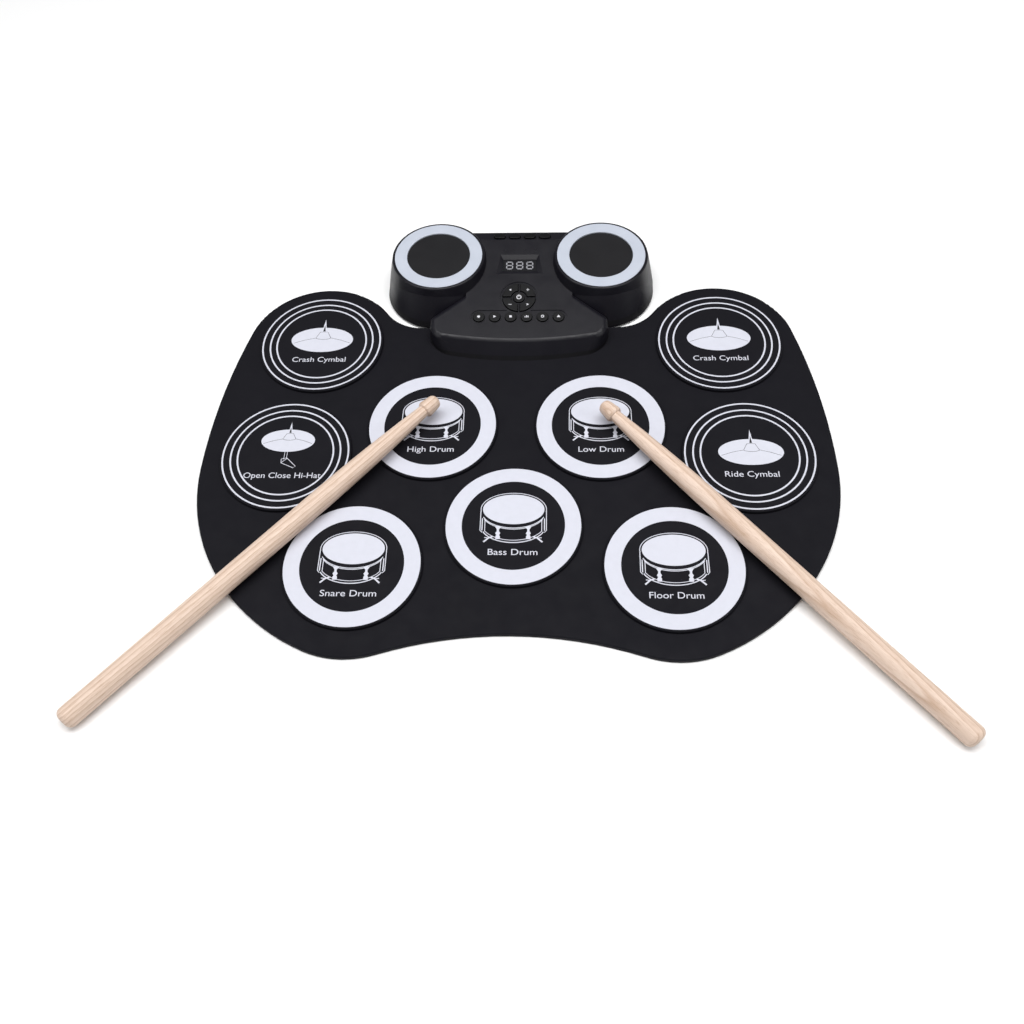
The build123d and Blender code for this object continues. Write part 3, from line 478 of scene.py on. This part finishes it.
# ---------------------------------------------------------------- pad prints
INK = 0.05 * MM                   # ink film, the last third of it below the pad's top
RING_OUT, RING_BAND = 45.0, 10.7
CYMBAL_RINGS = (44.8, 39.2, 34.2)
CYMBAL_LINE = 1.15
LABEL_CAP = 4.7 * MM
DRUM_LABEL_Y = -21.2              # middle of the lettering, from the pad's centre
CYMBAL_LABEL_Y = -16.3
PEDAL_LABEL_Y = -17.9
GROUP_STEP = 2e-7                 # height between groups of ink, so that none share a plane
LABELS = {                        # voice of each pad and the width of its lettering
    "bass": ("Bass Drum", 32.5),
    "high_tom": ("High Drum", 32.5),
    "low_tom": ("Low Drum", 31.5),
    "snare": ("Snare Drum", 36.5),
    "floor_tom": ("Floor Drum", 34.5),
    "hi_hat": ("Open Close Hi-Hat", 54.0),
    "ride": ("Ride Cymbal", 36.5),
    "crash_left": ("Crash Cymbal", 40.0),
    "crash_right": ("Crash Cymbal", 40.0),
}
CYMBALS = {                       # middle, half width and half height of each drawn cymbal
    "hi_hat": (0.2, 12.0, 19.1, 9.7),
    "ride": (1.0, 2.3, 22.4, 10.9),
    "crash_left": (0.0, 3.3, 23.4, 12.1),
    "crash_right": (0.0, 3.3, 23.4, 12.1),
}


def drum_picture():
    """A small drum: white head, hoops, lugs and feet, as groups of outlines."""
    head_a, head_b, head_y = 20.6, 11.7, 12.0
    rim_y = head_y - 1.6
    white = []
    white.append([ellipse(0, head_y, head_a, head_b)])
    # counter hoop round the head and the band under it
    white.append([stroke(ellipse(0, head_y, 21.9, 12.9, 72, -8, 188), 0.5)])
    white.append([stroke(ellipse(0, rim_y, 21.4, 13.0, 48, 200, 340), 0.55)])
    white.append([stroke(ellipse(0, rim_y - 1.1, 21.2, 12.8, 48, 204, 336), 0.55)])
    # lower hoop
    white.append([stroke(ellipse(0, -1.2, 21.3, 12.6, 48, 200, 340), 0.7)])
    white.append([stroke(ellipse(0, 0.4, 20.9, 12.4, 48, 204, 336), 0.45)])
    for side in (-1, 1):
        # shell edge with its side lug
        edge = [(side * 21.9, 10.5), (side * 22.0, -4.4), (side * 20.6, -6.0)]
        white.append([stroke(edge, 0.55)])
        white.append([stroke([(side * 20.7, 4.8), (side * 20.7, -4.6)], 0.7)])
        white.append([stroke([(side * 18.9, 3.2), (side * 18.9, -5.2)], 0.5)])
        # front lug and rod
        x = side * 10.1
        lug = [(-2.3, -1.7), (2.3, -1.0), (0.75, -3.7), (0.75, -5.2), (1.7, -6.6), (0.9, -8.1),
               (1.5, -9.0), (1.5, -11.2), (-1.5, -11.2), (-1.5, -9.0), (-0.9, -8.1), (-1.7, -6.6),
               (-0.75, -5.2), (-0.75, -3.7)]
        white.append([[(x + side * px, py) for px, py in lug]])
        # splayed foot
        foot = [(side * 13.4, -9.3), (side * 16.0, -10.2), (side * 19.4, -13.4)]
        white.append([stroke(foot, 1.1)])
        white.append([stroke([(side * 16.0, -10.4), (side * 18.9, -10.0)], 0.6)])
    return white, []


def cymbal_picture(cx, cy, a, b, pedal=False):
    """A cymbal seen from the front, with its bell and spike; marks are dark lines on the white."""
    size = a / 23.4
    bell_top, bell_low = cy + 0.64 * b, cy + 0.13 * b
    tip = bell_top + 12.5 * size
    white = [[ellipse(cx, cy, a, b)]]
    # spike: white outline with a dark core
    x = cx + 0.6
    white.append([
        [(x - 1.9 * size, bell_top), (x, tip), (x + 1.9 * size, bell_top)],
    ])
    core, core_y = 0.95 * size, bell_top + 0.6
    dark = [[[(x - core, core_y), (x, bell_top + 7.0 * size), (x + core, core_y)]]]
    half_top, half_low = 2.9 * size, 5.6 * size
    bell = [(x - half_top, bell_top), (x - half_low, bell_low + 0.4)]
    bell += ellipse(x, bell_low + 0.4, half_low, 1.6 * size, 16, 180, 360)
    bell += [(x + half_top, bell_top)]
    dark.append([stroke(bell, 0.28)])
    dark.append([stroke([(x - half_top, bell_top), (x + half_top, bell_top)], 0.22)])
    for side in (-1, 1):
        start = (x + side * half_low, bell_low + 0.2)
        end = (cx + side * a * 0.91, cy - b * 0.27)
        bend = ((start[0] + end[0]) / 2, (start[1] + end[1]) / 2 + 0.5)
        dark.append([stroke([start, bend, end], 0.26)])
    if pedal:
        low = cy - b
        for shift in (-0.9, 0.9):
            white.append([stroke([(cx + shift, low - 0.2), (cx + shift, low - 6.4)], 0.35)])
        plate = [(-2.6, -6.2), (1.2, -5.2), (8.2, -12.4), (6.6, -13.6), (-2.4, -9.4)]
        points = [(cx + px, low + py) for px, py in plate]
        white.append([stroke(points + points[:1], 0.45)])
        white.append([stroke([(cx - 2.4, low - 9.3), (cx + 1.4, low - 5.6)], 0.4)])
    return white, dark


def pad_print(name):
    node = f"pad_{name}"
    low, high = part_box(node)
    top = Vector(((low.x + high.x) / 2, (low.y + high.y) / 2, high.z + INK / 6))
    if name in CYMBALS:
        white, dark = cymbal_picture(*CYMBALS[name], pedal=name == "hi_hat")
        white += [ring_band(radius, CYMBAL_LINE) for radius in CYMBAL_RINGS]
        label_y = (PEDAL_LABEL_Y if name == "hi_hat" else CYMBAL_LABEL_Y) * MM
    else:
        white, dark = drum_picture()
        white.append(ring_band(RING_OUT, RING_BAND))
        label_y = DRUM_LABEL_Y * MM
    layers = []
    for index, outlines in enumerate(white):
        place = Matrix.Translation(top + Vector((0, 0, index * GROUP_STEP)))
        layers.append((flat_mesh("ink", outlines, INK), place, "white"))
    for index, outlines in enumerate(dark):
        place = Matrix.Translation(top + Vector((0, 0, INK / 3 + index * GROUP_STEP)))
        layers.append((flat_mesh("ink", outlines, INK), place, "mark"))
    label = Matrix.Translation(top + Vector((0, label_y, 0)))
    text, width = LABELS[name]
    layers.append((text_mesh(text, LABEL_CAP, width * MM, INK), label, "white"))
    piece_from(f"print_{name}", layers, ROOT)


# ---------------------------------------------------------------- console prints
def panel_frame(node, press):
    """Place of the middle of a key's or the display's top face, with Z along the panel's normal."""
    joint = next(entry for entry in frame["joints"] if entry["name"] == press)
    normal = -Vector(joint["axis"]).normalized()
    across = Vector((1, 0, 0))
    up = normal.cross(across).normalized()
    points = [vertex.co for vertex in frame["nodes"][node].data.vertices]
    height = max(point.dot(normal) for point in points)
    top = [point for point in points if height - point.dot(normal) < 0.05 * MM]
    spans = []
    for axis in (across, up):
        reach = [point.dot(axis) for point in top]
        spans.append((max(reach) + min(reach)) / 2)
    middle = across * spans[0] + up * spans[1] + normal * height
    turn = Matrix((across, up, normal)).transposed().to_4x4()
    return Matrix.Translation(middle) @ turn


def bar(x_low, x_high, y_low, y_high):
    return [(x_low, y_low), (x_high, y_low), (x_high, y_high), (x_low, y_high)]


def disc_outline(radius, x=0.0, y=0.0):
    return ellipse(x, y, radius, radius, 24)


KEY_SIGNS = {                     # groups of outlines, in millimetres about the middle of the key
    "row_key_1": [[disc_outline(0.95)]],
    "row_key_2": [[[(-0.8, -1.0), (1.1, 0.0), (-0.8, 1.0)]]],
    "row_key_3": [[bar(-0.85, 0.85, -0.85, 0.85)]],
    "row_key_4": [
        [bar(-1.3, -0.7, -0.9, 0.1)],
        [bar(-0.3, 0.3, -0.9, 0.9)],
        [bar(0.7, 1.3, -0.9, 0.5)],
    ],
    "row_key_5": [[disc_outline(1.1), disc_outline(0.6)]],
    "row_key_6": [[[(-1.3, -0.8), (0.0, 1.1), (1.3, -0.8)]]],
    "centre_key": [[disc_outline(1.7), disc_outline(1.15)], [bar(-0.25, 0.25, 0.2, 2.2)]],
    "quarter_key_1": [
        [bar(-1.0, 1.0, -0.2, 0.2)],
        [bar(-0.2, 0.2, 0.35, 1.0)],
        [bar(-0.2, 0.2, -1.0, -0.35)],
    ],
    "quarter_key_2": [[[(-1.0, 0.0), (0.6, 0.9), (0.6, -0.9)]]],
    "quarter_key_3": [[bar(-1.0, 1.0, -0.2, 0.2)]],
    "quarter_key_4": [[[(1.0, 0.0), (-0.6, 0.9), (-0.6, -0.9)]]],
}
SIGN_SCALE = 1.12
SIGN_INK = 0.04 * MM


def key_signs():
    for node, groups in KEY_SIGNS.items():
        place = panel_frame(node, f"{node}_press") @ Matrix.Translation((0, 0, SIGN_INK / 6))
        layers = []
        for group in groups:
            outlines = [[(x * SIGN_SCALE, y * SIGN_SCALE) for x, y in outline] for outline in group]
            layers.append((flat_mesh("sign", outlines, SIGN_INK), place, "icon"))
        piece_from(f"sign_{node}", layers, f"{node}_cap")


DIGIT_COUNT = 3
DIGIT_SIZE = (5.4, 7.2)
DIGIT_PITCH = 7.7
SEGMENT_WIDE = 0.95
SEGMENT_GAP = 0.22


def display_digits():
    """Three seven-segment digits with all their segments showing pale, as on an unlit display."""
    place = panel_frame("display", "centre_key_press") @ Matrix.Translation((0, 0, SIGN_INK / 6))
    half_w = (DIGIT_SIZE[0] - SEGMENT_WIDE) / 2
    half_h = (DIGIT_SIZE[1] - SEGMENT_WIDE) / 2
    bevel = SEGMENT_WIDE / 2
    corners = [
        (-half_w, half_h), (half_w, half_h), (half_w, 0),
        (half_w, -half_h), (-half_w, -half_h), (-half_w, 0),
    ]
    pairs = [(0, 1), (1, 2), (2, 3), (3, 4), (4, 5), (5, 0), (5, 2)]
    layers = []
    for number in range(DIGIT_COUNT):
        shift = (number - (DIGIT_COUNT - 1) / 2) * DIGIT_PITCH
        for start, end in pairs:
            a, b = Vector(corners[start]), Vector(corners[end])
            along = (b - a).normalized()
            side = Vector((-along.y, along.x)) * bevel
            a, b = a + along * SEGMENT_GAP, b - along * SEGMENT_GAP
            near, far = a + along * bevel, b - along * bevel
            shape = [a, near + side, far + side, b, far - side, near - side]
            outline = [(point.x + shift, point.y) for point in shape]
            layers.append((flat_mesh("segment", [outline], SIGN_INK), place, "segment"))
    piece_from("display_digits", layers, ROOT)


# ---------------------------------------------------------------- stage and light
FLOOR_HALF = 6.0
FLOOR_DROP = 0.05 * MM            # keeps the floor out of the mat's underside
WORLD_STRENGTH = 0.24
LIGHTS = (                        # name, place, aim, size and power of each soft light
    ("overhead", (0, 0.08, 1.5), (0, 0, 0), (1.7, 0.75), 26),
    ("left", (-1.3, -0.5, 0.9), (0, 0.1, 0), (0.5, 1.2), 5),
    ("right", (1.3, -0.5, 0.9), (0, 0.1, 0), (0.5, 1.2), 5),
)


def make_floor():
    half = FLOOR_HALF
    corners = [(-half, -half, 0), (half, -half, 0), (half, half, 0), (-half, half, 0)]
    mesh = bpy.data.meshes.new("floor")
    mesh.from_pydata(corners, [], [(0, 1, 2, 3)])
    floor = bpy.data.objects.new("floor", mesh)
    floor.location.z = -FLOOR_DROP
    bpy.context.scene.collection.objects.link(floor)
    made = Shader("floor_paper", (0.93, 0.93, 0.93), 0.9, 0.1)
    place = made.coordinates()
    shade = made.noise(place, 3.0)
    made.colour(made.ramp(shade, (0.3, (0.925, 0.925, 0.925)), (0.7, (0.935, 0.935, 0.935))))
    mesh.materials.append(made.material)


def area_light(name, place, aim, size, power):
    data = bpy.data.lights.new(name, "AREA")
    data.shape = "RECTANGLE"
    data.size, data.size_y = size
    data.energy = power
    light = bpy.data.objects.new(name, data)
    light.location = place
    light.rotation_mode = "QUATERNION"
    light.rotation_quaternion = (Vector(aim) - Vector(place)).to_track_quat("-Z", "Y")
    bpy.context.scene.collection.objects.link(light)


def make_light():
    world = bpy.data.worlds.new("studio")
    bpy.context.scene.world = world
    world.use_nodes = True
    background = world.node_tree.nodes["Background"]
    background.inputs["Color"].default_value = (1, 1, 1, 1)
    background.inputs["Strength"].default_value = WORLD_STRENGTH
    for light in LIGHTS:
        area_light(*light)
    bpy.context.scene.view_settings.view_transform = "Standard"


# ---------------------------------------------------------------- build
make_camera()
make_materials()
paint_nodes()
for pad_name in PADS:
    pad_print(pad_name)
key_signs()
display_digits()
make_floor()
make_light()
